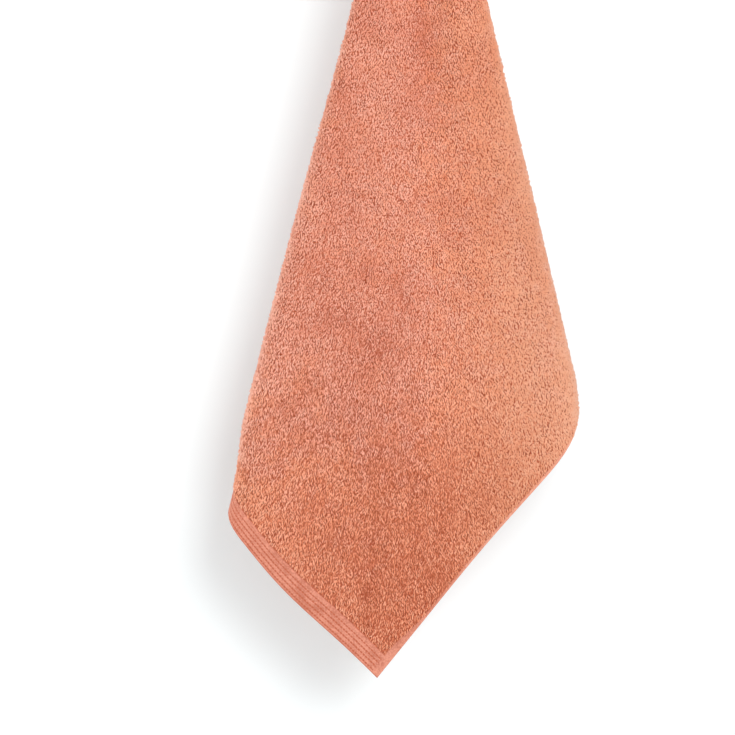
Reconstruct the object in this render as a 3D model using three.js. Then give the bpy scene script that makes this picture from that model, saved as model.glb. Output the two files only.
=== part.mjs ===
// A bath towel of terry cloth, hung up by one point of a long side and fallen into soft folds.
// Millimetres, +Z up. The origin is the hang point, the front panel faces -Y and +X is to its right.
//
// The cloth is described flat, in polar form about the hang point: reach is the distance from that
// point, and bearing is the angle in the cloth, 0 along the hung side to the nearer end hem. Every
// fold is a ray of the cloth, so each section across the rays has the same few bends.
import * as THREE from "three";

// The cloth as cut and hemmed. It is thickest in the pile, flat in its hems, thin at its edge.
const WIDTH = 700;
const LENGTH = 1400;
const TERRY_THICK = 3;
const HEM_THICK = 2.2;
const EDGE_THICK = 1.4;
const END_HEM = 26;
const SIDE_HEM = 13;
const PILE_STEP = 1.6;

// The woven ribs of each end hem: ridges side by side, the outermost narrower than the pitch.
const RIBS = 5;
const RIB_PITCH = 5.05;
const OUTER_RIB = 3.3;
const RIB_HEIGHT = 0.45;

// How it hangs: the reach along the hung side to each end hem, and the angle to which each lower
// corner closes as the cloth draws in on the bias. One bearing hangs plumb.
const NEAR_REACH = 824;
const FAR_REACH = LENGTH - NEAR_REACH;
const CORNER_DEG = 84;
const LAST_BEARING = 2 * CORNER_DEG;
const PLUMB_BEARING = 40.5;

// The gathered top. The cloth starts a little way below the point where its rays meet, and the
// bundle leans forward, so that its weight hangs below that point.
const TIP_REACH = 26;
const TIP_RISE = 25;
const TIP_DEPTH = 12;
const LEAN = 0.065;
const GATHER_REACH = 90;

// The folds, in the order of their bearing. A fold turns in two arcs, before and after the bearing
// at. Turns are in degrees, and radii are shares of the reach, with a least radius near the tip.
// miss is how far, in mm, the fold runs beside the hang point, ease how far it stands aside of
// its ray a third of the way down, and steps is the facets of an arc.
const FOLDS = [
  { at: 25.4, miss: -3.4, ease: 4, turns: [90, 90], shares: [0.014, 0.028], least: 2.05, steps: 3 },
  { at: 55.75, miss: 0.3, ease: 0, turns: [90, 94], shares: [0.064, 0.026], least: 4.2, steps: 4 },
  { at: 78.1, miss: 1.2, ease: 0, turns: [-91, -88.5], shares: [0.011, 0.015], least: 2.05, steps: 3 },
  { at: 99.7, miss: 1.0, ease: 0, turns: [89, 91.5], shares: [0.012, 0.015], least: 2.05, steps: 3 },
  { at: 124.8, miss: 1.5, ease: 0, turns: [-90, -90], shares: [0.014, 0.01], least: 2.05, steps: 3 },
  { at: 146.2, miss: 2.0, ease: 0, turns: [89, 91], shares: [0.01, 0.015], least: 2.05, steps: 3 },
];
const EASE_REACH = 370;
const EASE_LONG = 170;

// The two folds of the front panel curl aside at the hems: by how many degrees, and between which
// reaches, for the fold at a bearing.
const DRIFTS = [
  { at: 25.4, drift: 0.5, from: 850, full: 935 },
  { at: 55.75, drift: -0.6, from: 800, full: 880 },
];

// How the edges of the front panel bow: the distance out of the straight, in mm, at the bearing of
// its middle, with its half width in degrees.
const BOWS = [
  { name: "end_hem", out: 9.5, bearing: 31.2, wide: 4.2 },
  { name: "side_hem", out: -3.4, bearing: 44.5, wide: 4.5 },
];

// Soft hollows and ridges of the front panel: how far each stands back, in mm, at the bearing and
// reach of its middle, with its half width in degrees and its half length in mm.
const RELIEF = [
  { name: "middle_hollow", back: 6.5, bearing: 41.6, reach: 300, wide: 4.2, long: 260 },
  { name: "left_ridge", back: -2.5, bearing: 34.5, reach: 330, wide: 3.6, long: 330 },
  { name: "right_ridge", back: -2.5, bearing: 48.0, reach: 300, wide: 3.2, long: 260 },
  { name: "left_dimple", back: 3.0, bearing: 33.4, reach: 930, wide: 1.6, long: 60 },
  { name: "low_dimple", back: 3.0, bearing: 36.2, reach: 990, wide: 1.5, long: 60 },
];
const RELIEF_FROM = 130;
const RELIEF_FULL = 330;

const rad = THREE.MathUtils.degToRad;
const deg = THREE.MathUtils.radToDeg;
const SLANT_SIN = Math.sin(rad(CORNER_DEG));
const SLANT_COS = Math.cos(rad(CORNER_DEG));

// Grows with the reach from a least value, with a soft change between the two.
const softMax = (value, least) => Math.pow(value ** 4 + least ** 4, 0.25);

// Where the lines inEnd and inSide, inside the edges of an end hem and of the lower side hem, meet.
// endReach is the reach of that end hem along the hung side.
function cornerPlace(endReach, inEnd, inSide) {
  const off = WIDTH * SLANT_SIN - inSide;
  const along = (endReach * SLANT_SIN - inEnd + off * SLANT_COS) / SLANT_SIN;
  return { reach: Math.hypot(along, off), bearing: deg(Math.atan2(off, along)) };
}
const NEAR_CORNER = cornerPlace(NEAR_REACH, 0, 0).bearing;
const FAR_CORNER = LAST_BEARING - cornerPlace(FAR_REACH, 0, 0).bearing;

const bowAt = (bearing) =>
  BOWS.reduce((sum, bow) => sum + bow.out * Math.exp(-(((bearing - bow.bearing) / bow.wide) ** 2)), 0);

// The reach, on a bearing, of the line that lies inEnd or inSide inside the cloth's edge.
function edgeReach(bearing, inEnd, inSide) {
  const bow = bowAt(bearing);
  if (bearing < NEAR_CORNER)
    return (NEAR_REACH * SLANT_SIN - inEnd + bow) / Math.sin(rad(CORNER_DEG - bearing));
  if (bearing > FAR_CORNER)
    return (FAR_REACH * SLANT_SIN - inEnd) / Math.sin(rad(bearing - CORNER_DEG));
  const along = Math.min(bearing, LAST_BEARING - bearing);
  return (WIDTH * SLANT_SIN - inSide + bow) / Math.sin(rad(along));
}

// The degrees by which the fold at a bearing has curled aside at a reach.
function driftAt(at, reach) {
  const curl = DRIFTS.find((one) => one.at === at);
  return curl ? curl.drift * THREE.MathUtils.smoothstep(reach, curl.from, curl.full) : 0;
}

// The bends met at a reach, in order: the arc length where each starts, its own length and turn.
function bendsAt(reach) {
  return FOLDS.flatMap(({ at, miss, ease, turns, shares, least }) => {
    const middle =
      rad(at + driftAt(at, reach)) * reach +
      miss * Math.exp(-reach / GATHER_REACH) +
      ease * Math.exp(-(((reach - EASE_REACH) / EASE_LONG) ** 2));
    const [before, after] = shares.map(
      (share, k) => softMax(share * reach, least) * rad(Math.abs(turns[k])),
    );
    return [
      { start: middle - before, length: before, turn: rad(turns[0]) },
      { start: middle, length: after, turn: rad(turns[1]) },
    ];
  });
}

// Where the cloth has got to after an arc length: it turns evenly along each bend, and runs
// straight between bends.
function walk(bends, arc) {
  let [across, back, heading, done] = [0, 0, 0, 0];
  const straight = (length) => {
    across += length * Math.cos(heading);
    back += length * Math.sin(heading);
  };
  for (const { start, length, turn } of bends) {
    if (arc <= start) break;
    straight(start - done);
    const part = Math.min(arc - start, length);
    const next = heading + (turn * part) / length;
    across += (length / turn) * (Math.sin(next) - Math.sin(heading));
    back += (length / turn) * (Math.cos(heading) - Math.cos(next));
    heading = next;
    done = start + part;
  }
  straight(arc - done);
  return { across, back, heading };
}

function reliefAt(reach, bearing) {
  const grown = THREE.MathUtils.smoothstep(reach, RELIEF_FROM, RELIEF_FULL);
  return RELIEF.reduce((sum, soft) => {
    const side = (bearing - soft.bearing) / soft.wide;
    const down = (reach - soft.reach) / soft.long;
    return sum + grown * soft.back * Math.exp(-(side ** 2) - down ** 2);
  }, 0);
}

// The middle of the cloth's thickness at a reach and a bearing, as a point in space. The front
// panel, on which the plumb bearing lies, runs straight across.
function clothPoint(reach, bearing) {
  const bends = bendsAt(reach);
  const home = walk(bends, rad(PLUMB_BEARING) * reach);
  const here = walk(bends, rad(bearing) * reach);
  const section = new THREE.Vector2(here.across - home.across, here.back - home.back);
  section.rotateAround(new THREE.Vector2(), -home.heading);
  const swing = section.x / reach;
  return new THREE.Vector3(
    reach * Math.sin(swing),
    section.y + reliefAt(reach, bearing) - softMax(LEAN * reach, TIP_DEPTH),
    TIP_RISE - reach * Math.cos(swing),
  );
}

// The way that the cloth's outer face looks, square to both directions along the cloth.
function clothNormal(reach, bearing) {
  const turn = 0.02;
  const along = clothPoint(reach + 1, bearing).sub(clothPoint(reach - 1, bearing));
  const round = clothPoint(reach, bearing + turn).sub(clothPoint(reach, bearing - turn));
  return along.cross(round).normalize();
}

// The rows near the tip are at fixed reaches. Below the last of them the rows run to the hems.
const FIXED_REACHES = [TIP_REACH, 32, 42, 58, 84, 125, 190, 290, 460];
const FREE_FROM = FIXED_REACHES.at(-1);

// The columns of the mesh run down the rays. They follow the arcs of the folds, divide the panels
// between them evenly, and keep a column on each corner and one close by on either side of it.
const PANELS = [
  { name: "left_flap", steps: [4] },
  { name: "front", steps: [6, 1, 1, 5], corner: NEAR_CORNER },
  { name: "second", steps: [4] },
  { name: "third", steps: [4] },
  { name: "fourth", steps: [4, 1, 1, 1], corner: FAR_CORNER },
  { name: "fifth", steps: [4] },
  { name: "last", steps: [4] },
];
const BESIDE_CORNER = 0.9;

// The bearings at which each panel starts and ends at a reach, between the folds.
function panelSpans(reach) {
  const arcs = bendsAt(reach).flatMap(({ start, length }) =>
    [start, start + length].map((arc) => deg(arc / reach)),
  );
  return PANELS.map((_, k) => [k ? arcs[4 * k - 1] : 0, arcs[4 * k] ?? LAST_BEARING]);
}
const FREE_SPANS = panelSpans(FREE_FROM);

function bearingsAt(reach) {
  const out = [0];
  const runTo = (bearing, steps) => {
    const from = out.at(-1);
    for (let i = 1; i <= steps; i++) out.push(THREE.MathUtils.lerp(from, bearing, i / steps));
  };
  panelSpans(reach).forEach(([start, end], k) => {
    if (k > 0) {
      runTo(deg(bendsAt(reach)[2 * k - 1].start / reach), FOLDS[k - 1].steps);
      runTo(start, FOLDS[k - 1].steps);
    }
    const { steps, corner } = PANELS[k];
    // Above the free rows the corner's columns keep their shares of a panel that narrows upwards.
    const marks = corner ? [corner - BESIDE_CORNER, corner, corner + BESIDE_CORNER] : [];
    const placed = marks.map((mark) =>
      reach < FREE_FROM ? THREE.MathUtils.mapLinear(mark, ...FREE_SPANS[k], start, end) : mark,
    );
    [...placed, end].forEach((mark, i) => runTo(mark, steps[i]));
  });
  return out;
}
const COLUMNS = bearingsAt(WIDTH).length;

// The rows of the mesh, from the tip to the edge. A row is at a fixed reach, or at a share of the
// way from the last such reach to the hems, or in the hems, where it carries the cloth's thickness.
const FREE_SHARES = [0.25, 0.5, 0.75, 0.94];

function hemRow(inEnd, endThick, sideThick) {
  return { inEnd, inSide: (inEnd * SIDE_HEM) / END_HEM, share: 1, endThick, sideThick };
}
function hemRows() {
  const rows = [
    hemRow(END_HEM + PILE_STEP, TERRY_THICK, TERRY_THICK),
    hemRow(END_HEM, HEM_THICK, HEM_THICK),
  ];
  for (let rib = RIBS - 1; rib > 0; rib--) {
    const groove = OUTER_RIB + (rib - 1) * RIB_PITCH;
    rows.push(hemRow(groove + RIB_PITCH / 2, HEM_THICK + RIB_HEIGHT, HEM_THICK));
    rows.push(hemRow(groove, HEM_THICK - RIB_HEIGHT, HEM_THICK));
  }
  rows.push(hemRow(OUTER_RIB / 2, HEM_THICK + RIB_HEIGHT, HEM_THICK));
  rows.push(hemRow(0, EDGE_THICK, EDGE_THICK));
  return rows;
}
const HEM_ROWS = hemRows();
const INNER = HEM_ROWS[0];
const ROWS = [
  ...FIXED_REACHES.map((reach) => ({ reach })),
  ...FREE_SHARES.map((share) => ({ ...INNER, share })),
  ...HEM_ROWS,
];

// The place of a row and column in the cloth. The edge depends on the bearing and a fold's bearing
// on the reach, so the two are found together by a few turns of a loop. On a corner the column
// follows the mitre of the two hems.
const SETTLE_TURNS = 5;

function placeOf(row, column) {
  if (row.reach) return { reach: row.reach, bearing: bearingsAt(row.reach)[column] };
  let place = { reach: WIDTH, bearing: bearingsAt(WIDTH)[column] };
  const near = place.bearing === NEAR_CORNER;
  if (near || place.bearing === FAR_CORNER) {
    const mitre = cornerPlace(near ? NEAR_REACH : FAR_REACH, row.inEnd, row.inSide);
    const bearing = near ? mitre.bearing : LAST_BEARING - mitre.bearing;
    return {
      reach: THREE.MathUtils.lerp(FREE_FROM, mitre.reach, row.share),
      bearing: THREE.MathUtils.lerp(place.bearing, bearing, row.share),
    };
  }
  for (let i = 0; i < SETTLE_TURNS; i++) {
    const edge = edgeReach(place.bearing, row.inEnd, row.inSide);
    const reach = THREE.MathUtils.lerp(FREE_FROM, edge, row.share);
    place = { reach, bearing: bearingsAt(reach)[column] };
  }
  return place;
}

function thicknessOf(row, bearing) {
  if (row.reach || row.share < 1) return TERRY_THICK;
  const onEnd = bearing < NEAR_CORNER - BESIDE_CORNER / 2 || bearing > FAR_CORNER + BESIDE_CORNER / 2;
  return onEnd ? row.endThick : row.sideThick;
}

// The towel as one closed sheet: a grid of points on its outer face, the same grid on its inner
// face, and a rim that joins them all round.
function towelGeometry() {
  const outer = [];
  const inner = [];
  for (const row of ROWS) {
    for (let column = 0; column < COLUMNS; column++) {
      const { reach, bearing } = placeOf(row, column);
      const half = clothNormal(reach, bearing).multiplyScalar(thicknessOf(row, bearing) / 2);
      const middle = clothPoint(reach, bearing);
      outer.push(...middle.clone().add(half));
      inner.push(...middle.sub(half));
    }
  }
  const faces = [];
  const innerStart = ROWS.length * COLUMNS;
  const quad = (a, b, c, d) => faces.push(a, b, c, a, c, d);
  for (let i = 0; i < ROWS.length - 1; i++) {
    for (let j = 0; j < COLUMNS - 1; j++) {
      const a = i * COLUMNS + j;
      const [b, c, d] = [a + 1, a + COLUMNS + 1, a + COLUMNS];
      quad(a, d, c, b);
      quad(innerStart + a, innerStart + b, innerStart + c, innerStart + d);
    }
  }
  for (const p of rimPairs()) quad(p[0], p[1], innerStart + p[1], innerStart + p[0]);
  const geometry = new THREE.BufferGeometry();
  geometry.setAttribute("position", new THREE.Float32BufferAttribute([...outer, ...inner], 3));
  geometry.setIndex(faces);
  geometry.computeVertexNormals();
  return geometry;
}

// The steps of the grid's outline, one after another, so that the rim's faces look outwards.
function rimPairs() {
  const at = (i, j) => i * COLUMNS + j;
  const [lastRow, lastColumn] = [ROWS.length - 1, COLUMNS - 1];
  const outline = [];
  for (let j = 0; j < lastColumn; j++) outline.push(at(0, j));
  for (let i = 0; i < lastRow; i++) outline.push(at(i, lastColumn));
  for (let j = lastColumn; j > 0; j--) outline.push(at(lastRow, j));
  for (let i = lastRow; i > 0; i--) outline.push(at(i, 0));
  return outline.map((from, k) => [from, outline[(k + 1) % outline.length]]);
}

const terry = new THREE.MeshStandardMaterial({ color: 0xdc8d70, roughness: 0.95, metalness: 0 });
const towel = new THREE.Mesh(towelGeometry(), terry);
towel.name = "towel";

const model = new THREE.Group();
model.add(towel);

export default model;
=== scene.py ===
import math

import bpy
import numpy as np
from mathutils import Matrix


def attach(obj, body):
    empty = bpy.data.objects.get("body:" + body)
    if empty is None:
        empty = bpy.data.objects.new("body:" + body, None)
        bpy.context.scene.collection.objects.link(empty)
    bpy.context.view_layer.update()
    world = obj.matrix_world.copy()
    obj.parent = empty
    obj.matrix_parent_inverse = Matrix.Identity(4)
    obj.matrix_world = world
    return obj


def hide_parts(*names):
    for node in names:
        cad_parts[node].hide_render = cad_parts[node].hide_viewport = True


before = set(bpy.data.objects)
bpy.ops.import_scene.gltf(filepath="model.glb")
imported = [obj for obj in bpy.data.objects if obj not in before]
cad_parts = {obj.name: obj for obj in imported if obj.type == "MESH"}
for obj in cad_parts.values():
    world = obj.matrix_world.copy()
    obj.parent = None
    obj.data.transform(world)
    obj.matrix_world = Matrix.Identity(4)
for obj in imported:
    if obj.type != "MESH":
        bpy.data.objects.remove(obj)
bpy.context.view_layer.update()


# The cloth of the towel: one sheet of cotton, woven flat in its hems and as the ground of the
# pile between them. It is hung up by one point of a long side, and all its folds run from there.
# Lengths are in mm and angles in degrees, as a maker would measure the flat cloth.
WIDTH, LENGTH = 700.0, 1400.0
END_HEM, SIDE_HEM, RIB_PITCH, OUTER_RIB = 26.0, 13.0, 5.05, 3.3
INNER_RIB = OUTER_RIB + 3 * RIB_PITCH

# How it hangs. The reach of a place is its distance from the hang point, which lies NEAR_REACH from
# one end of the hung edge and FAR_REACH from the other. The bearing is the angle in the cloth, from
# 0 along that edge to the near end, round to LAST along it to the far end. The lower corners close
# to CORNER on the bias, and the bearing PLUMB hangs straight down.
NEAR_REACH = 824.0
FAR_REACH = LENGTH - NEAR_REACH
CORNER, PLUMB = 84.0, 40.5
LAST = 2 * CORNER
SLANT = math.sin(math.radians(CORNER))

# The gathered tip: the reach where the cloth starts, how high its rays meet above the hang point,
# how far it stands forward there, and the share of the reach by which it leans forward below.
TIP_REACH, TIP_RISE, TIP_DEPTH, LEAN = 26.0, 25.0, 12.0, 0.065

# Each fold: bearing, how far it misses the hang point, how far it eases aside a third of the way
# down, by how much it curls aside at the hems and from which reach to which, the turn before and
# after its middle, the radius of each turn as a share of the reach, and the least one.
FOLDS = [
    (25.40, -3.4, 4.0, (0.5, 850.0, 935.0), (90.0, 90.0), (0.014, 0.028), 2.05),
    (55.75, 0.3, 0.0, (-0.6, 800.0, 880.0), (90.0, 94.0), (0.064, 0.026), 4.20),
    (78.10, 1.2, 0.0, (0.0, 0.0, 1.0), (-91.0, -88.5), (0.011, 0.015), 2.05),
    (99.70, 1.0, 0.0, (0.0, 0.0, 1.0), (89.0, 91.5), (0.012, 0.015), 2.05),
    (124.80, 1.5, 0.0, (0.0, 0.0, 1.0), (-90.0, -90.0), (0.014, 0.010), 2.05),
    (146.20, 2.0, 0.0, (0.0, 0.0, 1.0), (89.0, 91.0), (0.010, 0.015), 2.05),
]

# The reach over which the miss fades, and the middle and half length of the ease.
MISS_FADES, EASE_REACH, EASE_LONG = 90.0, 370.0, 170.0

# The bows of the two lower edges: how far out, the bearing of the middle, and the half width.
BOWS = [(9.5, 31.2, 4.2), (-3.4, 44.5, 4.5)]

# Soft hollows and ridges of the front: how far back, bearing, reach, half width in degrees, half
# length. Near the tip there are none, and they grow in from one reach to another.
RELIEF = [
    (6.5, 41.6, 300.0, 4.2, 260.0),
    (-2.5, 34.5, 330.0, 3.6, 330.0),
    (-2.5, 48.0, 300.0, 3.2, 260.0),
    (3.0, 33.4, 930.0, 1.6, 60.0),
    (3.0, 36.2, 990.0, 1.5, 60.0),
]
RELIEF_FROM, RELIEF_FULL = 130.0, 330.0


def soft_step(value, low, high):
    """0 below low and 1 above high, with an S-shaped cubic rise between them."""
    share = np.clip((value - low) / (high - low), 0.0, 1.0)
    return share * share * (3.0 - 2.0 * share)


def soft_most(value, least):
    """The fourth root of the sum of fourth powers: the greater of the two, rounded at the change."""
    return (value**4 + least**4) ** 0.25


def bends(reach):
    """Each half of each fold at a reach: where its arc starts, its length, and its turn in radians.
    The arc's length is its radius, a share of the reach, times its turn. The miss fades out as an
    exponential of the reach, and the ease is a bell curve over it."""
    for at, miss, ease, (curl, low, high), turns, shares, least in FOLDS:
        middle = np.radians(at + curl * soft_step(reach, low, high)) * reach
        middle = middle + miss * np.exp(-reach / MISS_FADES)
        middle = middle + ease * np.exp(-(((reach - EASE_REACH) / EASE_LONG) ** 2))
        before, after = (
            soft_most(share * reach, least) * math.radians(abs(turn))
            for share, turn in zip(shares, turns)
        )
        yield middle - before, before, math.radians(turns[0])
        yield middle, after, math.radians(turns[1])


def section(reach, arc):
    """The section across the rays: straight between bends, and each bend a circular arc, so that
    across and back are the sums of run times cosine and sine, and of radius times their change."""
    across, back, heading, done = (np.zeros(np.broadcast(reach, arc).shape) for _ in range(4))
    for start, length, turn in bends(reach):
        run = np.clip(arc, done, np.maximum(start, done)) - done
        part = np.clip(arc - start, 0.0, length)
        onward = heading + turn * part / length
        across = across + run * np.cos(heading) + length / turn * (np.sin(onward) - np.sin(heading))
        back = back + run * np.sin(heading) + length / turn * (np.cos(heading) - np.cos(onward))
        heading, done = onward, start + length
    run = np.maximum(arc - done, 0.0)
    return across + run * np.cos(heading), back + run * np.sin(heading), heading


def cloth_point(reach, bearing):
    """The middle of the cloth. The section is turned so that the plumb ray looks straight ahead,
    then wrapped about the hang point, pressed by the relief, a bell curve for each of its rows, and
    leaned forward with the reach."""
    here_x, here_y, _ = section(reach, np.radians(bearing) * reach)
    home_x, home_y, home = section(reach, math.radians(PLUMB) * reach)
    x, y = here_x - home_x, here_y - home_y
    across = x * np.cos(home) + y * np.sin(home)
    back = y * np.cos(home) - x * np.sin(home)
    swing = across / reach
    grown = soft_step(reach, RELIEF_FROM, RELIEF_FULL)
    for depth, mid, far, wide, long in RELIEF:
        off = ((bearing - mid) / wide) ** 2 + ((reach - far) / long) ** 2
        back = back + grown * depth * np.exp(-off)
    back = back - soft_most(LEAN * reach, TIP_DEPTH)
    return np.stack([reach * np.sin(swing), back, TIP_RISE - reach * np.cos(swing)], axis=-1)


def unit(vectors):
    """Each vector divided by its length."""
    return vectors / np.linalg.norm(vectors, axis=-1, keepdims=True)


def cloth_frame(reach, bearing, step=0.7, turn=0.02):
    """The direction down the ray, the one across it, and the normal of the outer face, from the
    differences between points a step and a turn away on either side."""
    down = unit(cloth_point(reach + step, bearing) - cloth_point(reach - step, bearing))
    aside = cloth_point(reach, bearing + turn) - cloth_point(reach, bearing - turn)
    normal = unit(np.cross(down, aside))
    return down, np.cross(normal, down), normal


def bow(bearing):
    """The sum of a few bell curves over the bearing."""
    return sum(out * np.exp(-(((bearing - mid) / wide) ** 2)) for out, mid, wide in BOWS)


def sine_of_edge(bearing):
    """The sine of the angle between a ray and the half of the hung edge that is nearer to it."""
    return np.sin(np.radians(np.minimum(bearing, LAST - bearing)))


def insets(reach, bearing):
    """How far a place lies inside the end hem's edge, the lower long edge and the hung long edge:
    each edge's distance from the hang point, less the place's distance along the edge's normal."""
    near = NEAR_REACH * SLANT + bow(bearing) - reach * np.sin(np.radians(CORNER - bearing))
    far = FAR_REACH * SLANT - reach * np.sin(np.radians(bearing - CORNER))
    in_hung = reach * sine_of_edge(bearing)
    in_side = WIDTH * SLANT + bow(bearing) - in_hung
    return np.where(bearing < CORNER, near, far), in_side, in_hung


def edge_reach(bearing, in_end, in_side):
    """The reach at which a ray first meets the line inside the end hem or inside the long edge."""
    slant = np.maximum(np.sin(np.radians(np.abs(CORNER - bearing))), 1e-3)
    end = np.where(bearing < CORNER, NEAR_REACH * SLANT + bow(bearing), FAR_REACH * SLANT)
    side = (WIDTH * SLANT + bow(bearing) - in_side) / np.maximum(sine_of_edge(bearing), 1e-3)
    return np.minimum((end - in_end) / slant, side)


def corner_bearing(end_reach, in_end, in_side):
    """Where the lines inside the two edges cross: the angle whose tangent is rise over run."""
    off = WIDTH * SLANT - in_side
    along = (end_reach * SLANT - in_end + off * math.cos(math.radians(CORNER))) / SLANT
    return np.degrees(np.arctan2(off, along))


# The side hem is bare at the lower corner and almost covered by pile away from it: the least width
# that shows, how much more shows at the corner, and the bearing there.
SIDE_SHOWS, CORNER_SHOWS, CORNER_AT = 3.4, 7.0, 38.0


def hem_width(bearing):
    """The width of the side hem that shows, with a soft step on the angle from the corner, from 2.8
    degrees to 0.2."""
    return SIDE_SHOWS + CORNER_SHOWS * soft_step(-np.abs(bearing - CORNER_AT), -2.8, -0.2)


def hem_rows():
    """Insets of the rows of the hems, inner edge first: two steps before the end hem, eight over
    its innermost rib, which is wider, and six over each of the others."""
    grooves = [OUTER_RIB + k * RIB_PITCH for k in (3, 2, 1, 0)]
    stops = [(END_HEM + 2.5, END_HEM, 2), (END_HEM, grooves[0], 8)]
    stops += [(a, b, 6) for a, b in zip(grooves, grooves[1:])] + [(grooves[-1], 0.0, 6)]
    parts = [np.linspace(a, b, n, endpoint=False) for a, b, n in stops]
    return np.concatenate(parts + [[0.0]])


# The rows of the sheet. Down to FREE_REACH each lies at a reach, closer together near the tip, then
# at a share of the way from there to the hems, and in the hems at an inset from the edges.
FREE_REACH = 460.0
HEM_ROWS = hem_rows()
UPPER_ROWS = TIP_REACH + (FREE_REACH - TIP_REACH) * np.linspace(0, 1, 30) ** 1.5
FREE_ROWS = np.linspace(0, 1, 38)[1:]
IN_HEMS = np.ones(HEM_ROWS.size - 1)
NO_REACH = np.full(FREE_ROWS.size + IN_HEMS.size, np.nan)
ABOVE_HEMS = np.full(UPPER_ROWS.size + FREE_ROWS.size, HEM_ROWS[0])
ROW_REACH = np.concatenate([UPPER_ROWS, NO_REACH])[:, None]
ROW_SHARE = np.concatenate([np.zeros(UPPER_ROWS.size), FREE_ROWS, IN_HEMS])[:, None]
ROW_INSET = np.concatenate([ABOVE_HEMS, HEM_ROWS[1:]])[:, None]

# The columns: how many steps there are between one marked bearing and the next. EDGE_STEP is the
# angle from the hung edge to the mark beside it, and CORNER_STEP that from a corner to those beside
# it. The near corner lies after the three bearings of the first fold, and the far one after those
# of the first four.
STEPS = [3, 14, 7, 7, 24, 5, 5, 28, 8, 7, 18, 5, 5, 18, 5, 5, 18, 4, 4, 4, 5, 5, 18, 5, 5, 18, 3]
COLUMN_STEP = np.arange(sum(STEPS) + 1)
MARK_STEP = np.concatenate([[0], np.cumsum(STEPS)])
EDGE_STEP, CORNER_STEP = 1.1, 0.9
NEAR_PANEL, FAR_PANEL = 3 * 1, 3 * 4


def fold_bearings(reach):
    """The bearings at which each fold starts, turns from its first half to its second, and ends."""
    halves = list(bends(reach))
    arcs = []
    for (start, before, _), (middle, after, _) in zip(halves[::2], halves[1::2]):
        arcs += [start, start + before, middle + after]
    return [np.degrees(arc / reach) for arc in arcs]


def marked_bearings(reach):
    """The bearings, at a reach, that columns are kept on: the two halves of the hung edge, the
    folds, the two lower corners, and a mark beside each edge and corner. The marks at a corner keep
    their share of a panel that narrows upwards."""
    folds, free = fold_bearings(reach), fold_bearings(np.float64(FREE_REACH))

    def placed(mark, panel):
        """A mark at its own bearing below FREE_REACH, and above it at its share of the panel."""
        low, high = folds[panel - 1], folds[panel]
        share = (mark - free[panel - 1]) / (free[panel] - free[panel - 1])
        return np.where(reach < FREE_REACH, low + (high - low) * share, mark)

    zero = np.zeros_like(reach)
    side = ROW_INSET * SIDE_HEM / END_HEM
    near_0, far_0 = (corner_bearing(end, 0.0, 0.0) for end in (NEAR_REACH, FAR_REACH))
    near = near_0 + ROW_SHARE * (corner_bearing(NEAR_REACH, ROW_INSET, side) - near_0)
    far = LAST - far_0 - ROW_SHARE * (corner_bearing(FAR_REACH, ROW_INSET, side) - far_0)
    near_marks = (near_0 - CORNER_STEP, near + zero, near_0 + CORNER_STEP)
    far_marks = (LAST - far_0 - CORNER_STEP, far + zero, LAST - far_0 + CORNER_STEP)
    first = np.minimum(EDGE_STEP + zero, 0.1 * folds[0])
    last = np.maximum(LAST - EDGE_STEP + zero, folds[-1] + 0.9 * (LAST - folds[-1]))
    return np.stack(
        [zero, first]
        + folds[:NEAR_PANEL]
        + [placed(mark, NEAR_PANEL) for mark in near_marks]
        + folds[NEAR_PANEL:FAR_PANEL]
        + [placed(mark, FAR_PANEL) for mark in far_marks]
        + folds[FAR_PANEL:]
        + [last, LAST + zero]
    )


def cloth_grid():
    """Reach and bearing of each row and column. Bearings are straight-line shares between marks,
    and the reach runs evenly from FREE_REACH to the hems. Each depends on the other, so they are
    found together by a few turns of a loop."""
    rows, columns = np.indices((ROW_SHARE.size, COLUMN_STEP.size))
    before = np.clip(np.searchsorted(MARK_STEP, COLUMN_STEP, side="right") - 1, 0, len(STEPS) - 1)
    share = (COLUMN_STEP - MARK_STEP[before]) / np.diff(MARK_STEP)[before]
    fixed = ~np.isnan(ROW_REACH)
    reach = np.where(fixed, ROW_REACH, WIDTH) + np.zeros(rows.shape)
    for _ in range(7):
        marks = marked_bearings(reach)
        low, high = marks[before[None, :], rows, columns], marks[before[None, :] + 1, rows, columns]
        bearing = low + (high - low) * share
        edge = edge_reach(bearing, ROW_INSET, ROW_INSET * SIDE_HEM / END_HEM)
        reach = np.where(fixed, ROW_REACH, FREE_REACH + (edge - FREE_REACH) * ROW_SHARE)
    return reach, bearing


# The thickness of the pile's ground, what the hems add to it, how high the ribs rise over their
# grooves and how deep those lie, and the share of it all that is left at the very edge.
GROUND_THICK, HEM_ADDS, RIB_RISE, GROOVE_DEEP, EDGE_SHARE = 1.9, 0.35, 1.15, 0.45, 0.55


def hem_thickness(in_end, in_side, width):
    """Full thickness: the pile's ground, a step up into the hems, rounded ribs in the end hem as
    the square root of a sine's size, the innermost one wider, and all of it drawn thin at the very
    edge."""
    rib = np.sqrt(np.abs(np.sin(np.pi * (in_end - OUTER_RIB) / RIB_PITCH)))
    in_rib = np.pi * (in_end - INNER_RIB) / (END_HEM - INNER_RIB)
    rib = np.where(in_end > INNER_RIB, np.sqrt(np.clip(np.sin(in_rib), 0.0, 1.0)), rib)
    ribbed = soft_step(in_side, 8.5, 11.5) * (in_end < END_HEM)
    hemmed = 1.0 - np.minimum(soft_step(in_end, 24.5, 26.5), soft_step(in_side - width, -2.0, 1.0))
    thick = GROUND_THICK + hemmed * (HEM_ADDS + ribbed * (RIB_RISE * rib - GROOVE_DEEP))
    inside = soft_step(np.minimum(in_end, in_side * 1.3), 0.0, 1.6)
    return thick * (EDGE_SHARE + (1.0 - EDGE_SHARE) * inside)


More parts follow.
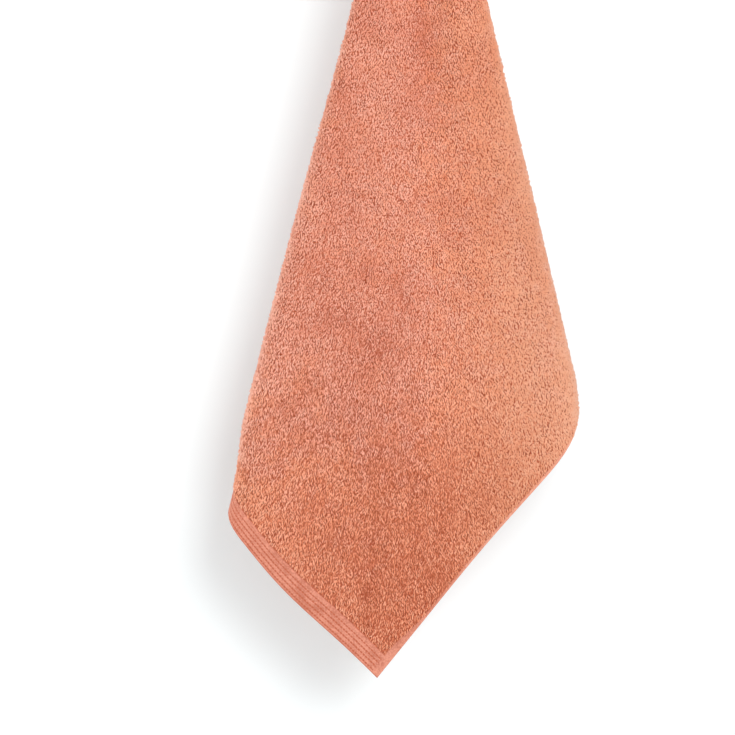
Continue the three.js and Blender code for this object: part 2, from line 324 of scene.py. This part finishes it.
def new_mesh(name, points, faces):
    """A mesh from points in mm and faces of equal size, all smooth."""
    mesh = bpy.data.meshes.new(name)
    corners = faces.shape[1]
    mesh.vertices.add(len(points))
    mesh.vertices.foreach_set("co", (points / 1000.0).astype(np.float32).reshape(-1))
    mesh.loops.add(faces.size)
    mesh.loops.foreach_set("vertex_index", faces.astype(np.int32).reshape(-1))
    mesh.polygons.add(len(faces))
    mesh.polygons.foreach_set("loop_start", np.arange(len(faces), dtype=np.int32) * corners)
    mesh.update(calc_edges=True)
    mesh.validate()
    mesh.polygons.foreach_set("use_smooth", np.ones(len(mesh.polygons), dtype=bool))
    return mesh


def add_map(mesh, places):
    """The mesh's own map, from a place for each corner of each face."""
    uv = mesh.uv_layers.new(name="OFBake")
    uv.data.foreach_set("uv", places.astype(np.float32).reshape(-1))


def sheet_mesh(name, middle, half):
    """A closed sheet: middle plus and minus half its thickness along the normal, and a rim. The
    outer face fills the left half of its map, the inner face the right half, mirrored, and the rim
    a narrow strip between them."""
    face_wide, rim_left, rim_right, map_wide = 0.485, 0.490, 0.505, 0.995
    rows, columns = middle.shape[:2]
    points = np.concatenate([(middle + half).reshape(-1, 3), (middle - half).reshape(-1, 3)])
    index = np.arange(rows * columns).reshape(rows, columns)
    a, b, c, d = index[:-1, :-1], index[1:, :-1], index[1:, 1:], index[:-1, 1:]
    outer = np.stack([a, b, c, d], axis=-1).reshape(-1, 4)
    inner = outer[:, ::-1] + rows * columns
    ring = np.concatenate([index[0, :-1], index[:-1, -1], index[-1, :0:-1], index[:0:-1, 0]])
    after = np.roll(ring, -1)
    rim = np.stack([ring, after, after + rows * columns, ring + rows * columns], axis=-1)
    mesh = new_mesh(name, points, np.concatenate([outer, inner, rim]))

    across, up = np.meshgrid(np.linspace(0.0, face_wide, columns), np.linspace(1.0, 0.0, rows))
    place = np.stack([across, up], axis=-1).reshape(-1, 2)
    mirrored = np.stack([map_wide - place[:, 0], place[:, 1]], axis=-1)
    run = (np.arange(ring.size)[:, None] + np.array([0.0, 1.0, 1.0, 0.0])) / ring.size
    aside = np.array([rim_left, rim_left, rim_right, rim_right]) + np.zeros(run.shape)
    strip = np.stack([aside, run], axis=-1)
    on_faces = np.concatenate([place, mirrored])[np.concatenate([outer, inner]).reshape(-1)]
    add_map(mesh, np.concatenate([on_faces, strip.reshape(-1, 2)]))
    return mesh


def add_values(mesh, name, values):
    """A number, or a triple of numbers, kept on each vertex for the material to read."""
    kind, field = ("FLOAT", "value") if values.ndim == 1 else ("FLOAT_VECTOR", "vector")
    made = mesh.attributes.new(name, kind, "POINT")
    made.data.foreach_set(field, values.astype(np.float32).reshape(-1))


def add_piece(mesh, material):
    """An object of the mesh with its material, in the scene."""
    piece = bpy.data.objects.new(mesh.name, mesh)
    mesh.materials.append(material)
    bpy.context.scene.collection.objects.link(piece)
    return piece


class Wire:
    """A socket of a material, or only its tree. Sums of wires and numbers add Math nodes to it."""

    def __init__(self, tree, socket=None):
        self.tree, self.socket = tree, socket

    def node(self, kind, settings=None, inputs=None, out=0):
        """A node of a type: its settings first, then the values or wires of its sockets."""
        made = self.tree.nodes.new(kind)
        for name, value in (settings or {}).items():
            if name == "stops":
                while len(made.color_ramp.elements) < len(value):
                    made.color_ramp.elements.new(0.5)
                for element, (place, colour) in zip(made.color_ramp.elements, value):
                    element.position, element.color = place, (*colour, 1.0)
            else:
                setattr(made, name, value)
        for name, value in (inputs or {}).items():
            if isinstance(value, Wire):
                value.into(made.inputs[name])
            else:
                made.inputs[name].default_value = value
        return Wire(self.tree, made.outputs[out])

    def into(self, socket):
        """A link from this wire's socket to another one."""
        self.tree.links.new(self.socket, socket)

    def maths(self, operation, *values):
        """A Math node of an operation."""
        return self.node("ShaderNodeMath", {"operation": operation}, dict(enumerate(values)))

    def __add__(self, other):
        return self.maths("ADD", self, other)

    __radd__ = __add__

    def __mul__(self, other):
        return self.maths("MULTIPLY", self, other)

    __rmul__ = __mul__

    def __sub__(self, other):
        return self.maths("SUBTRACT", self, other)

    def __rsub__(self, other):
        return self.maths("SUBTRACT", other, self)

    def __truediv__(self, other):
        return self.maths("DIVIDE", self, other)

    def step(self, low, high):
        """0 below low, 1 above high, and a smooth rise between."""
        settings = {"interpolation_type": "SMOOTHSTEP", "clamp": True}
        limits = {"Value": self, "From Min": low, "From Max": high}
        return self.node("ShaderNodeMapRange", settings, limits)

    def mixed(self, first, second):
        """A colour between two, by this wire."""
        first, second = (end if isinstance(end, Wire) else (*end, 1.0) for end in (first, second))
        settings = {"data_type": "RGBA", "clamp_factor": True}
        return self.node("ShaderNodeMix", settings, {0: self, 6: first, 7: second}, out=2)

    def split(self):
        """The three numbers of a vector."""
        apart = self.node("ShaderNodeSeparateXYZ", {}, {0: self}).socket.node
        return [Wire(self.tree, out) for out in apart.outputs]

    def noise(self, scale, detail):
        """Soft noise over places in metres. The scale is about how often it changes in one."""
        return self.node("ShaderNodeTexNoise", {}, {"Vector": self, "Scale": scale, "Detail": detail})


def new_material(name, finish):
    """A material with the constant values of its finish, its first wire and its shader."""
    material = bpy.data.materials.new(name)
    material.use_nodes = True
    shader = material.node_tree.nodes["Principled BSDF"]
    for socket, value in finish.items():
        shader.inputs[socket].default_value = value
    return material, Wire(material.node_tree), shader


# Matt cotton, whose fine fibres catch the light at its edges, and the same where it is woven flat.
# Its colours there are pairs, dark and pale: the ground under the pile, darkened as painted shade,
# the end hems, and the side hems, which are paler away from the ends. Stitches run along the grooves
# between the ribs, and their dark colour is also painted along the end hems' outer edge as shade.
COTTON = {"Specular IOR Level": 0.12, "Sheen Roughness": 0.45}
FLAT_COTTON = COTTON | {"Sheen Weight": 0.25, "Sheen Tint": (1.0, 0.62, 0.52, 1.0)}
SHADED_GROUND_COLOURS = (0.32, 0.068, 0.032), (0.54, 0.155, 0.085)
END_COLOURS = (0.52, 0.175, 0.112), (0.72, 0.295, 0.205)
SIDE_COLOURS = (0.64, 0.250, 0.165), (0.80, 0.395, 0.280)
STITCH_AND_EDGE_SHADE_COLOUR, STITCH_PITCH = (0.48, 0.115, 0.058), 4.1


def ground_material():
    """Flat-woven cotton: a ground under the pile darkened as painted shade, which shows a little
    inside the hems as a ragged painted shadow line at the pile's foot, and pinker hems with fine ribs
    across the threads, a row of stitches in each groove and painted shade along the end hems' outer
    edge. Grooves and stitches repeat by a triangle wave, the twill by a sine, and all else is soft
    steps of noise and of the distance from the edges."""
    material, wire, shader = new_material("terry_ground", FLAT_COTTON)
    weave = wire.node("ShaderNodeAttribute", {"attribute_name": "weave"}, out="Vector")
    along, in_end, in_side = weave.split()
    side_piled = wire.node("ShaderNodeAttribute", {"attribute_name": "side_piled"}, out="Fac")
    place = wire.node("ShaderNodeTexCoord", {}, out="Object")
    mottle, thread = place.noise(60.0, 3.0), place.noise(520.0, 3.0)

    ribbed = in_side.step(9.0, 11.0) * (1.0 - in_end.step(INNER_RIB + 0.15, INNER_RIB + 0.95))
    ribs = (in_end - OUTER_RIB) / RIB_PITCH
    groove = 1.0 - ribs.maths("PINGPONG", ribs, 0.5).step(0.07, 0.26)
    stitches = along / STITCH_PITCH
    dash = stitches.maths("PINGPONG", stitches, 0.5).step(0.10, 0.24)
    stitch = groove * ribbed * in_end.step(1.0, 2.2) * (0.25 + 0.75 * dash)

    # Painted shadow at the pile's foot: the darkened ground starts a ragged step inside the hems,
    # where the loops do not quite cover it.
    shaded_ground_starts = (in_end + mottle * 4.0 - 2.0).step(END_HEM - 2.6, END_HEM - 1.2)
    hem = 1.0 - shaded_ground_starts * side_piled.step(-1.0, 0.6)
    shade = (mottle * 0.4 + thread * 0.6).step(0.36, 0.64)
    ends, sides = shade.mixed(*END_COLOURS), shade.mixed(*SIDE_COLOURS)
    hem_colour = in_end.step(50.0, 250.0).mixed(ends, sides)
    # Painted shade along the end hems' outer edge, darkened with the stitch colour.
    edge_shade = 1.0 - in_end.step(0.3, 1.6)
    dark = stitch.maths("MAXIMUM", stitch, edge_shade * 0.7)
    colour = dark.mixed(hem.mixed(shade.mixed(*SHADED_GROUND_COLOURS), hem_colour), STITCH_AND_EDGE_SHADE_COLOUR)
    colour.into(shader.inputs["Base Color"])
    (0.98 - hem * 0.12).into(shader.inputs["Roughness"])

    across = along * 1.9 + in_end * 0.6
    twill = across.maths("SINE", across)
    height = thread * 0.6 + hem * twill * 0.25 - stitch * 0.9
    bump = wire.node("ShaderNodeBump", {}, {"Height": height, "Strength": 0.5, "Distance": 0.0004})
    bump.into(shader.inputs["Normal"])
    return material


grid_reach, grid_bearing = cloth_grid()
grid_end, grid_side, grid_hung = insets(grid_reach, grid_bearing)
grid_edge = np.minimum(grid_side, grid_hung)
grid_width = hem_width(grid_bearing)
grid_thick = hem_thickness(grid_end, grid_edge, grid_width)
grid_normal = cloth_frame(grid_reach, grid_bearing)[2]
grid_half = grid_normal * grid_thick[..., None] / 2
cloth_mesh = sheet_mesh("towel_cloth", cloth_point(grid_reach, grid_bearing), grid_half)
grid_along = grid_reach * sine_of_edge(grid_bearing) / SLANT
grid_weave = np.stack([grid_along, grid_end, grid_edge], axis=-1).reshape(-1, 3)
grid_piled = (grid_edge - grid_width).reshape(-1)
for label, values in (("weave", grid_weave), ("side_piled", grid_piled)):
    add_values(cloth_mesh, label, np.concatenate([values, values]))
towel_cloth = add_piece(cloth_mesh, ground_material())
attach(towel_cloth, "root")
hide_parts("towel")


# The pile of the towel: short uncut loops of soft cotton yarn that stand on both faces of the ground,
# all but in the hems. They lie down the cloth as it hangs, each a little its own way. On the front
# they part along short lines, which carry painted shade, and are brushed aside in soft places, among
# which painted shade and painted light are also laid.
LOOP_LONG, LOOP_WIDE, LOOP_HIGH = 5.2, 1.35, 1.6
LOOP_TURN, LOOP_BEND, RAGGED = 0.32, 0.4, 0.9

# The eight points of a loop, as shares of its length, width and height: a foot in the ground, two
# sections of three points, and the other foot. Then its faces.
LOOP_ENDS = np.array([-0.5, -0.2, -0.2, -0.2, 0.2, 0.2, 0.2, 0.5])
LOOP_SIDES = np.array([0.0, -0.5, 0.0, 0.5, -0.5, 0.0, 0.5, 0.0])
LOOP_RISES = np.array([-0.3, 0.28, 1.0, 0.28, 0.22, 0.92, 0.22, -0.3])
LOOP_FACES = np.array(
    [[0, 1, 2], [0, 2, 3], [1, 4, 5], [1, 5, 2], [2, 5, 6], [2, 6, 3], [4, 7, 5], [5, 7, 6]]
)

# Where loops can be seen, for each piece of pile: face, bearings, least reach, and the pitch across
# and down, close on the front and more open behind.
CLOSE, OPEN = (1.75, 2.65), (3.1, 3.9)
PILE = {
    "pile_front_left": [(1, (22.6, 34.8), 40.0, CLOSE)],
    "pile_front_middle": [(1, (34.8, 44.8), 40.0, CLOSE)],
    "pile_front_right": [(1, (44.8, 60.4), 40.0, CLOSE)],
    "pile_back_low": [(1, (0.0, 22.6), 260.0, OPEN), (-1, (27.0, 54.0), 700.0, OPEN)],
    "pile_back_right": [(1, (60.4, 68.0), 220.0, OPEN), (1, (68.0, 77.0), 600.0, OPEN)],
    "pile_folds": [
        (-1, (76.6, 79.6), 40.0, OPEN),
        (1, (98.2, 101.4), 40.0, OPEN),
        (-1, (123.2, 126.2), 40.0, OPEN),
        (1, (144.8, 148.0), 40.0, OPEN),
    ],
    "pile_back_high": [
        (1, (101.4, 109.0), 180.0, OPEN),
        (1, (109.0, 123.4), 560.0, OPEN),
        (-1, (126.2, 144.8), 540.0, OPEN),
        (1, (148.0, 168.0), 40.0, OPEN),
    ],
}

# Soft places on the front: x, z, half width, half height, in mm, and how much darker it looks there,
# or paler where that is less than 0. Some are where the pile is brushed aside. Others are painted
# shade in the hollow near the top, in two small dents, towards the bottom and by the lower end of the
# left fold, and painted light on the ridges beside the hollow, at the right and along the left fold.
BRUSHED_AND_SHADED = [
    (-127.0, -630.0, 16.0, 22.0, 0.50),
    (-109.0, -683.0, 20.0, 14.0, 0.40),
    (-64.0, -627.0, 14.0, 18.0, 0.55),
    (-32.0, -647.0, 16.0, 20.0, 0.45),
    (-56.0, -724.0, 24.0, 26.0, 0.40),
    (-130.0, -765.0, 22.0, 20.0, 0.45),
    (-162.0, -795.0, 22.0, 16.0, 0.35),
    (-109.0, -825.0, 24.0, 16.0, 0.35),
    (6.0, -385.0, 16.0, 50.0, 0.32),
    (-38.0, -385.0, 20.0, 70.0, -0.34),
    (45.0, -345.0, 30.0, 40.0, -0.25),
    (-91.0, -428.0, 14.0, 50.0, 0.35),
    (-30.0, -905.0, 60.0, 60.0, 0.20),
    (-8.0, -985.0, 45.0, 40.0, 0.20),
    (-20.0, -1060.0, 150.0, 240.0, 1.18),
    (-130.0, -880.0, 110.0, 160.0, 0.33),
    (33.0, -690.0, 35.0, 60.0, -0.40),
    (90.0, -895.0, 90.0, 55.0, 0.42),
    (-80.0, -655.0, 45.0, 45.0, 0.20),
    (-60.0, -760.0, 90.0, 120.0, 0.12),
    (160.0, -780.0, 60.0, 120.0, -0.65),
    (120.0, -570.0, 40.0, 180.0, -0.45),
    (0.0, -560.0, 120.0, 120.0, -0.18),
    (2.0, -335.0, 9.0, 60.0, 0.45),
    (20.0, -388.0, 11.0, 16.0, 0.38),
    (-67.0, -1013.0, 9.0, 12.0, 0.80),
    (-115.0, -958.0, 10.0, 6.0, 0.60),
    (-135.0, -560.0, 18.0, 100.0, -0.30),
    (-172.0, -700.0, 18.0, 100.0, -0.25),
    (-216.0, -872.0, 13.0, 42.0, 0.62),
]

# Partings, where loops of the front lie apart along a short bent line that is darkened as painted
# shade: how many, the bearings and reaches between which they lie, and the limits of their half
# length, half width and depth, which is how dark that painted shade is.
PARTINGS, PARTED_BEARINGS, PARTED_REACHES = 340, (23.0, 60.0), (150.0, 830.0)
PARTING_LONG, PARTING_WIDE, PARTING_DEEP = (2.4, 6.0), (1.1, 1.9), (0.6, 1.6)

# On either side of a parting lies a bank paler as a painted highlight, so many half widths away and
# by a share of the parting's depth. Loops turn away from it by so many radians, over so many half
# widths.
BANK_FAR, BANK_HIGHLIGHT, COMB_TURN, COMB_WIDE = 2.4, 0.35, 0.6, 2.5


def draw_partings(rng):
    """A row for each parting: its place in the flat cloth, lean, half length, half width, bend and
    depth of its painted shade. Their places are even over the area of the front, so the reach is a
    square root. They are less deep to the right of the plumb ray."""
    turn = np.radians(rng.uniform(*PARTED_BEARINGS, PARTINGS) - PLUMB)
    low, high = PARTED_REACHES
    reach = np.sqrt(rng.uniform(low**2, high**2, PARTINGS))
    x = reach * np.sin(turn)
    lean, bend = rng.normal(0.0, 0.5, PARTINGS), rng.normal(0.0, 0.05, PARTINGS)
    long, wide, deep = (
        rng.uniform(*limits, PARTINGS) for limits in (PARTING_LONG, PARTING_WIDE, PARTING_DEEP)
    )
    deep = deep * (1.0 - 0.65 * soft_step(x, 0.0, 110.0))
    return np.stack([x, reach * np.cos(turn), lean, long, wide, bend, deep], axis=-1)


def parted(x, y, partings):
    """How much painted shade the partings lay on a place, and how far they turn its loops aside in
    radians. Each shade is a bell curve along its line and one across it, less two for the painted
    highlights of its banks. The turn is the distance across times a wider bell curve."""
    dark, aside = np.zeros_like(x), np.zeros_like(x)
    for at_x, at_y, lean, long, wide, bend, deep in partings:
        along = (y - at_y) * math.cos(lean) + (x - at_x) * math.sin(lean)
        off = (x - at_x) * math.cos(lean) - (y - at_y) * math.sin(lean) - bend * along**2
        near = deep * np.exp(-((along / long) ** 2))
        off = off / wide
        bank = BANK_HIGHLIGHT * np.exp(-((np.abs(off) - BANK_FAR) ** 2))
        dark += near * (np.exp(-(off**2)) - bank)
        aside += COMB_TURN * near * off * np.exp(-((off / COMB_WIDE) ** 2)) / COMB_WIDE
    return dark, aside


def lattice(low, high, least, pitch, rng):
    """Places over part of the flat cloth, as reach and bearing, in staggered rows that run along
    the plumb ray out to a far reach, each moved at random by a small share of the pitch."""
    far, stray = 1150.0, 0.22
    across = np.arange(-far, far, pitch[0])
    down = np.arange(-far, far, pitch[1])
    x, y = np.meshgrid(across, down)
    x = x + pitch[0] * 0.5 * (np.arange(down.size) % 2)[:, None]
    x = (x + rng.normal(0.0, stray * pitch[0], x.shape)).ravel()
    y = (y + rng.normal(0.0, stray * pitch[1], y.shape)).ravel()
    reach, bearing = np.hypot(x, y), np.mod(PLUMB + np.degrees(np.arctan2(x, y)), 360.0)
    kept = (bearing > low) & (bearing < high) & (reach > least)
    return reach[kept], bearing[kept]


def loop_sizes(reach, x, rng):
    """How much each loop stands up, and its length, width and height, drawn at random. They are
    small near the tip, longer below, wider at the right, and higher where a loop stands up."""
    stands = rng.uniform(0.0, 1.0, reach.size)
    size = rng.uniform(0.72, 1.2, (reach.size, 3))
    size *= (0.55 + 0.45 * soft_step(reach, 60.0, 240.0))[:, None]
    size[:, 0] *= 0.85 + 0.2 * soft_step(reach, 600.0, 900.0)
    size[:, 1] *= 1.0 + 0.3 * soft_step(x, 20.0, 120.0)
    size[:, 2] *= 0.35 + 1.3 * stands
    return stands, size * (LOOP_LONG, LOOP_WIDE, LOOP_HIGH)


def pile_loops(face, bearings, least, pitch, partings, brushed_and_shaded_places, rng):
    """Eight points for each loop, along its own direction, its side and the face's normal, with their
    places in the flat cloth, tones, random and darker as painted shade where a loop stands low,
    heights, and how far they are brushed aside or carry painted shade and light from the partings and
    soft places. A loop is an arch that bends aside by the square of the distance from its middle."""
    reach, bearing = lattice(*bearings, least, pitch, rng)
    in_end, in_side, in_hung = insets(reach, bearing)
    ragged = rng.uniform(-RAGGED, RAGGED, reach.size)
    above_end = in_end > END_HEM - 0.6 + ragged
    grown = above_end & (np.minimum(in_side, in_hung) > hem_width(bearing) + ragged)
    reach, bearing = reach[grown], bearing[grown]
    middle = cloth_point(reach, bearing)
    down, aside, normal = cloth_frame(reach, bearing)
    normal = normal * face
    flat_turn = np.radians(bearing - PLUMB)
    flat = np.stack([reach * np.sin(flat_turn), reach * np.cos(flat_turn)], axis=-1)
    # The partings' painted shade, and the turn of their loops.
    brushed, combed = parted(flat[:, 0], flat[:, 1], partings)
    # Soft places of brushed pile, painted shade and painted light, each a bell curve.
    for x, z, wide, high, depth in brushed_and_shaded_places:
        spot = ((middle[:, 0] - x) / wide) ** 2 + ((middle[:, 2] - z) / high) ** 2
        brushed += depth * np.exp(-spot)

    turn = (rng.normal(0.0, LOOP_TURN, reach.size) + combed)[:, None]
    along = down * np.cos(turn) + aside * np.sin(turn)
    side = np.cross(normal, along)
    stands, size = loop_sizes(reach, middle[:, 0], rng)
    long, wide, high = size.T[..., None]
    bend = rng.normal(0.0, LOOP_BEND, (reach.size, 1))
    t = LOOP_ENDS * long
    s = LOOP_SIDES * wide + bend * (1.0 - (2.0 * LOOP_ENDS) ** 2)
    n = GROUND_THICK / 2 + LOOP_RISES * high
    points = middle[:, None] + t[..., None] * along[:, None]
    points = points + s[..., None] * side[:, None] + n[..., None] * normal[:, None]
    flat = flat[:, None] + np.stack([s, t], axis=-1)
    # Each loop's tone: partly random, and darker as painted shade for loops that stand low.
    tint = 0.6 * stands + 0.4 * rng.uniform(0.0, 1.0, reach.size)
    height = np.tile(np.clip(LOOP_RISES, 0.0, 1.0), reach.size)
    tint, brushed = np.repeat(tint, LOOP_ENDS.size), np.repeat(brushed, LOOP_ENDS.size)
    return points.reshape(-1, 3), flat.reshape(-1, 2), tint, height, brushed


# Cotton as it is in the loops. Their colours run from the root, darkened as painted shade, to the
# paler crest, pinker at the left and more golden at the right and below, and DULL is mixed into them
# at the right as painted shade on the side the key light falls on most.
LOOPED_COTTON = COTTON | {"Sheen Weight": 0.80, "Sheen Tint": (1.0, 0.80, 0.74, 1.0)}
PINK = [(0.0, (0.39, 0.076, 0.036)), (0.45, (0.755, 0.280, 0.180)), (1.0, (0.95, 0.515, 0.390))]
GOLD = [(0.0, (0.41, 0.074, 0.031)), (0.45, (0.795, 0.275, 0.143)), (1.0, (0.97, 0.495, 0.325))]
DULL = (0.50, 0.26, 0.15)


def pile_material():
    """Soft looped cotton: dark at the roots between the loops as painted shade and pale on their
    crests, each loop a little lighter or darker at random and darker as painted shade where it stands
    low, redder where it is brushed aside or carries painted shade, paler where it carries painted
    light, in broad soft patches, and dulled at the right as painted shade. Each of these is a soft
    step of the height in the loop, of the place in metres or of noise, and their weighted sum picks
    the colour."""
    material, wire, shader = new_material("terry_pile", LOOPED_COTTON | {"Roughness": 1.0})
    tint, height, brushed = (
        wire.node("ShaderNodeAttribute", {"attribute_name": name}, out="Fac")
        for name in ("tint", "height", "brushed")
    )
    place = wire.node("ShaderNodeTexCoord", {}, out="Object")
    broad, small = place.noise(14.0, 4.0), place.noise(48.0, 2.0)
    across, _, above = place.split()
    below = 0.0 - above
    warm = across.step(-0.04, 0.08) * 0.7 + below.step(0.70, 1.0) * 0.85
    warm = warm + broad.step(0.38, 0.62) * 0.28 + small.step(0.36, 0.64) * 0.40 - 0.20
    # How strongly the painted shade at the roots and the paler crests show: more below, less at the
    # right, and varying in patches.
    depth = 0.74 + below.step(0.52, 0.85) * 0.95 - across.step(0.0, 0.14) * 0.48
    depth = depth + small.step(0.66, 0.34) * 0.7 - 0.35
    # Where a point falls on the colour ramps: paler up the loop, as painted shade at the roots,
    # lifted by each loop's tone, in which low loops are darker as painted shade, and by broad noise,
    # and darker where the pile is brushed aside or painted with shade.
    crest = (height.step(0.0, 0.9) * 0.45 + tint * 0.55 - 0.48) * depth + 0.515
    crest = crest + broad.step(0.35, 0.65) * 0.10 - brushed * 0.30
    pink, gold = (
        wire.node("ShaderNodeValToRGB", {"stops": stops}, {"Fac": crest}) for stops in (PINK, GOLD)
    )
    # Painted shade: the right side, where the key light falls most, is dulled towards DULL.
    dull = across.step(0.0, 0.13) * 0.30
    colour = dull.mixed(warm.step(0.0, 1.0).mixed(pink, gold), DULL)
    colour.into(shader.inputs["Base Color"])
    return material


front_partings = draw_partings(np.random.default_rng(5))
pile_finish = pile_material()
for seed, (name, areas) in enumerate(PILE.items(), start=11):
    rng = np.random.default_rng(seed)
    front = name.startswith("pile_front")
    partings, brushed_and_shaded_places = (front_partings, BRUSHED_AND_SHADED) if front else ([], [])
    parts = [pile_loops(*area, partings, brushed_and_shaded_places, rng) for area in areas]
    points, flat, tint, height, brushed = (np.concatenate(part) for part in zip(*parts))
    first_points = np.arange(0, len(points), LOOP_ENDS.size)
    faces = (LOOP_FACES + first_points[:, None, None]).reshape(-1, 3)
    mesh = new_mesh(name, points, faces)
    spread = (flat - flat.min(axis=0)) / (flat.max(axis=0) - flat.min(axis=0))
    add_map(mesh, spread[faces.reshape(-1)])
    for label, values in (("tint", tint), ("height", height), ("brushed", brushed)):
        add_values(mesh, label, values)
    piece = add_piece(mesh, pile_finish)
    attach(piece, "root")


# The studio: a pale floor well below the towel, and a white wall close behind it, leaning with the
# cloth, that takes its soft shadow. The wall has one side, so the towel is also seen from behind.
PALE = {"Roughness": 0.9, "Specular IOR Level": 0.0}
FLOOR_FINISH = PALE | {"Base Color": (0.85, 0.85, 0.85, 1.0)}
WALL_FINISH = PALE | {"Base Color": (0.752, 0.790, 0.796, 1.0), "Emission Strength": 1.0}
LOW_GLOW, HIGH_GLOW = (0.205, 0.212, 0.213), (0.285, 0.297, 0.299)

# Where they stand, in mm: left and right, near and far, and the heights of their near and far edges.
FLOOR_PLACE = (-3000, 3000), (-5000, 3000), (-1500, -1500)
WALL_PLACE = (-650, 560), (35, 175), (-1500, 250)


def plane_mesh(name, x, y, z):
    """One flat face: its corners are the ends of its near edge and then those of its far edge."""
    corners = [(x[0], y[0], z[0]), (x[1], y[0], z[0]), (x[1], y[1], z[1]), (x[0], y[1], z[1])]
    return new_mesh(name, np.array(corners, float), np.array([[0, 1, 2, 3]]))


def wall_material():
    """A matt white wall that glows a little, less below than above by a soft step of the height,
    and is clear from behind."""
    material, wire, shader = new_material("white_wall", WALL_FINISH)
    height = wire.node("ShaderNodeTexCoord", {}, out="Object").split()[2]
    height.step(-0.90, -0.60).mixed(LOW_GLOW, HIGH_GLOW).into(shader.inputs["Emission Color"])
    behind = wire.node("ShaderNodeNewGeometry", {}, out="Backfacing")
    white = Wire(wire.tree, shader.outputs[0])
    clear = wire.node("ShaderNodeBsdfTransparent")
    both = wire.node("ShaderNodeMixShader", {}, {0: behind, 1: white, 2: clear})
    both.into(wire.tree.nodes["Material Output"].inputs[0])
    return material


floor_material = new_material("pale_floor", FLOOR_FINISH)[0]
floor = add_piece(plane_mesh("floor", *FLOOR_PLACE), floor_material)
wall = add_piece(plane_mesh("wall", *WALL_PLACE), wall_material())


# The light and the camera, in metres: a large soft light from the front, a weaker one from the
# left and a pale room. The camera looks level at the lower part of the front from VIEW_FAR away,
# where its view is VIEW_WIDE across.
SENSOR, VIEW_FAR, VIEW_WIDE = 36.0, 3.2, 0.871
VIEW_AT = (-0.0646, -0.05, -0.7447)


def soft_light(name, place, aim, size, power):
    """A square area light at a place, turned to look at its aim: tilted by the angle between the
    way down and the line to the aim, and turned by that line's angle in plan."""
    data = bpy.data.lights.new(name, "AREA")
    data.shape, data.size, data.energy = "SQUARE", size, power
    light = bpy.data.objects.new(name, data)
    x, y, z = (a - b for a, b in zip(aim, place))
    light.location = place
    light.rotation_euler = (math.atan2(math.hypot(x, y), -z), 0.0, math.atan2(x, -y) + math.pi)
    bpy.context.scene.collection.objects.link(light)


soft_light("key_light", place=(1.15, -2.6, 0.34), aim=(0.0, 0.0, -0.75), size=1.6, power=58.5)
soft_light("fill_light", place=(-1.9, -0.35, -0.6), aim=(0.0, 0.0, -0.65), size=1.2, power=17.0)
world = bpy.data.worlds.new("studio")
world.use_nodes = True
world.node_tree.nodes["Background"].inputs["Color"].default_value = (1.0, 1.0, 1.0, 1.0)
world.node_tree.nodes["Background"].inputs["Strength"].default_value = 0.55
bpy.context.scene.world = world
bpy.context.scene.view_settings.view_transform = "Standard"

camera_data = bpy.data.cameras.new("camera")
camera_data.sensor_width = SENSOR
camera_data.lens = SENSOR * VIEW_FAR / VIEW_WIDE
camera = bpy.data.objects.new("camera", camera_data)
camera.location = (VIEW_AT[0], VIEW_AT[1] - VIEW_FAR, VIEW_AT[2])
camera.rotation_euler = (math.pi / 2, 0.0, 0.0)
bpy.context.scene.collection.objects.link(camera)
bpy.context.scene.camera = camera
